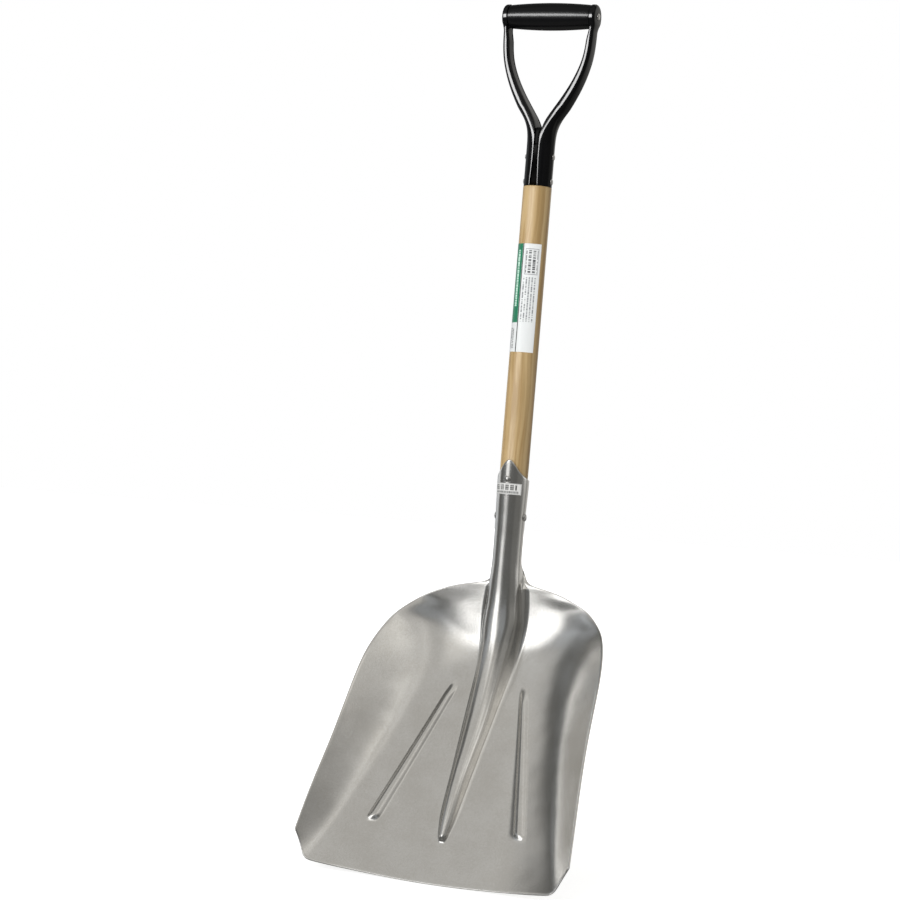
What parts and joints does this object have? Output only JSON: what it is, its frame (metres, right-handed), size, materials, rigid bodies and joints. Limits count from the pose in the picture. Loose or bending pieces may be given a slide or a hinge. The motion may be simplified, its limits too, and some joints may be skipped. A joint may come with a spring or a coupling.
{
  "type": "snow shovel",
  "caption": "Scoop-type snow shovel: dished aluminium blade with a hollow ridge and socket, round ash shaft and a steel-sheathed D-grip.",
  "frame": {"origin": "underside of the grip bar in its middle, where the shovel hangs when it is stored", "axes": "+Z along the shaft from the blade to the grip, -Y out of the load side of the blade, +X to the right seen from the load side"},
  "size_m": [0.371, 0.2128, 1.1386],
  "materials": {
    "aluminium_sheet": "satin, brushed by the press",
    "ash_wood": "clear lacquer",
    "black_steel": "gloss black enamel",
    "black_wood": "gloss black lacquer",
    "rivet_steel": "plated, domed heads",
    "label_paper": "printed, semi-gloss"
  },
  "bodies": {
    "root": {"scoop_blade": "aluminium_sheet", "shaft": "ash_wood", "right_arm_sheath": "black_steel", "left_arm_sheath": "black_steel", "right_arm_core": "black_wood", "left_arm_core": "black_wood", "grip_bar": "black_wood", "grip_rivet": "rivet_steel", "ferrule_rivet_upper": "rivet_steel", "ferrule_rivet_lower": "rivet_steel", "socket_cross_rivet": "rivet_steel", "socket_front_rivet": "rivet_steel", "socket_rivet_burr": "rivet_steel", "shaft_label": "label_paper", "socket_label": "label_paper"}
  },
  "joints": []
}
